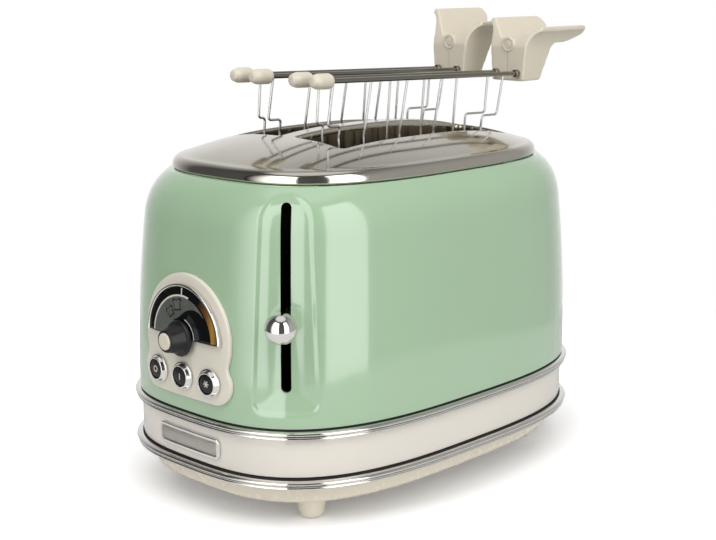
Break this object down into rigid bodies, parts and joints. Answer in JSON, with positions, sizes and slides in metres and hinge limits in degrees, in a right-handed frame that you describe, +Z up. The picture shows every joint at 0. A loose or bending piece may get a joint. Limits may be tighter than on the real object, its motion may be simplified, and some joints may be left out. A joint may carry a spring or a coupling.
{
  "type": "toaster",
  "caption": "Retro toaster with a pastel green shell, chrome trim, a browning dial, push buttons, a side lever and wire sandwich tongs standing in its bread slots.",
  "frame": {"origin": "on the table, under the middle of the whole outline", "axes": "+X along the housing from the control panel to the tong handles, +Z up; the lever is at the -Y side of the control end"},
  "size_m": [0.3536, 0.2108, 0.292],
  "materials": {
    "green_enamel": "gloss",
    "cream_enamel": "gloss",
    "cream_plastic": "satin",
    "black_plastic": "gloss",
    "black_rubber": "matt",
    "chrome": "polished",
    "brushed_steel": "satin",
    "wire_steel": "drawn wire",
    "sheet_steel": "plain sheet",
    "aluminium": "satin",
    "mica": "matt",
    "circuit_board": "satin",
    "dark_iron": "matt"
  },
  "bodies": {
    "housing": {"foot_1": "cream_plastic", "foot_2": "cream_plastic", "foot_3": "cream_plastic", "foot_4": "cream_plastic", "base_pan": "cream_enamel", "lower_trim_band": "chrome", "base_band": "cream_enamel", "upper_trim_band": "chrome", "outer_shell": "green_enamel", "top_plate": "brushed_steel", "control_panel": "cream_plastic", "dial_face": "black_plastic", "dial_bezel": "chrome", "potentiometer": "aluminium", "button_ring_1": "chrome", "button_ring_2": "chrome", "button_ring_3": "chrome", "name_plate": "chrome", "cord_gland": "black_rubber", "front_chassis_plate": "sheet_steel", "rear_chassis_plate": "sheet_steel", "near_outer_bread_guard": "wire_steel", "near_inner_bread_guard": "wire_steel", "far_outer_bread_guard": "wire_steel", "far_inner_bread_guard": "wire_steel", "near_heating_element": "mica", "centre_heating_element": "mica", "far_heating_element": "mica", "control_board": "circuit_board", "electromagnet": "dark_iron", "near_guide_rod": "chrome", "far_guide_rod": "chrome", "lift_spring": "wire_steel"},
    "carriage": {"bread_carriage": "sheet_steel", "latch_armature": "dark_iron", "lever_arm": "sheet_steel", "lever_knob": "chrome"},
    "knob": {"browning_knob": "black_plastic", "knob_cap": "cream_plastic", "knob_shaft": "aluminium"},
    "far_button": {"button_1": "black_plastic"},
    "middle_button": {"button_2": "black_plastic"},
    "near_button": {"button_3": "black_plastic"},
    "tray": {"crumb_tray": "aluminium", "crumb_tray_front": "cream_enamel"},
    "near_tong": {"near_tong_pin": "wire_steel"},
    "near_tong_front": {"near_tong_front_cage": "wire_steel", "near_tong_front_tip": "cream_plastic", "near_tong_front_handle": "cream_plastic"},
    "near_tong_rear": {"near_tong_rear_cage": "wire_steel", "near_tong_rear_tip": "cream_plastic", "near_tong_rear_handle": "cream_plastic"},
    "far_tong": {"far_tong_pin": "wire_steel"},
    "far_tong_front": {"far_tong_front_cage": "wire_steel", "far_tong_front_tip": "cream_plastic", "far_tong_front_handle": "cream_plastic"},
    "far_tong_rear": {"far_tong_rear_cage": "wire_steel", "far_tong_rear_tip": "cream_plastic", "far_tong_rear_handle": "cream_plastic"}
  },
  "joints": [
    {"name": "carriage_slide", "type": "slide", "parent": "housing", "child": "carriage", "axis": [0, 0, 1], "range_m": [-0.038, 0], "stiffness_N_per_m": 220, "springref_m": 0.035, "deforming": ["lift_spring"]},
    {"name": "browning_knob_turn", "type": "hinge", "parent": "housing", "child": "knob", "pos_m": [-0.16016, 0, 0.1125], "axis": [1, 0, 0], "range_deg": [-120, 120]},
    {"name": "far_button_press", "type": "slide", "parent": "housing", "child": "far_button", "axis": [0.997, -0.077, 0], "range_m": [0, 0.0015], "stiffness_N_per_m": 500, "springref_m": -0.002},
    {"name": "middle_button_press", "type": "slide", "parent": "housing", "child": "middle_button", "axis": [1, 0, 0], "range_m": [0, 0.0015], "stiffness_N_per_m": 500, "springref_m": -0.002},
    {"name": "near_button_press", "type": "slide", "parent": "housing", "child": "near_button", "axis": [0.997, 0.077, 0], "range_m": [0, 0.0015], "stiffness_N_per_m": 500, "springref_m": -0.002},
    {"name": "crumb_tray_slide", "type": "slide", "parent": "housing", "child": "tray", "axis": [1, 0, 0], "range_m": [0, 0.22]},
    {"name": "near_tong_lift", "type": "slide", "parent": "housing", "child": "near_tong", "axis": [0, 0, 1], "range_m": [0, 0.11]},
    {"name": "near_tong_front_open", "type": "hinge", "parent": "near_tong", "child": "near_tong_front", "pos_m": [0.12384, -0.027, 0.277], "axis": [-1, 0, 0], "range_deg": [0, 3.2]},
    {"name": "near_tong_rear_open", "type": "hinge", "parent": "near_tong", "child": "near_tong_rear", "pos_m": [0.12384, -0.027, 0.277], "axis": [1, 0, 0], "range_deg": [0, 3.2]},
    {"name": "far_tong_lift", "type": "slide", "parent": "housing", "child": "far_tong", "axis": [0, 0, 1], "range_m": [0, 0.11]},
    {"name": "far_tong_front_open", "type": "hinge", "parent": "far_tong", "child": "far_tong_front", "pos_m": [0.12384, 0.027, 0.277], "axis": [-1, 0, 0], "range_deg": [0, 3.2]},
    {"name": "far_tong_rear_open", "type": "hinge", "parent": "far_tong", "child": "far_tong_rear", "pos_m": [0.12384, 0.027, 0.277], "axis": [1, 0, 0], "range_deg": [0, 3.2]}
  ],
  "couplings": [
    {"joint": "near_tong_rear_open", "follows": "near_tong_front_open", "ratio": 1},
    {"joint": "far_tong_rear_open", "follows": "far_tong_front_open", "ratio": 1}
  ]
}
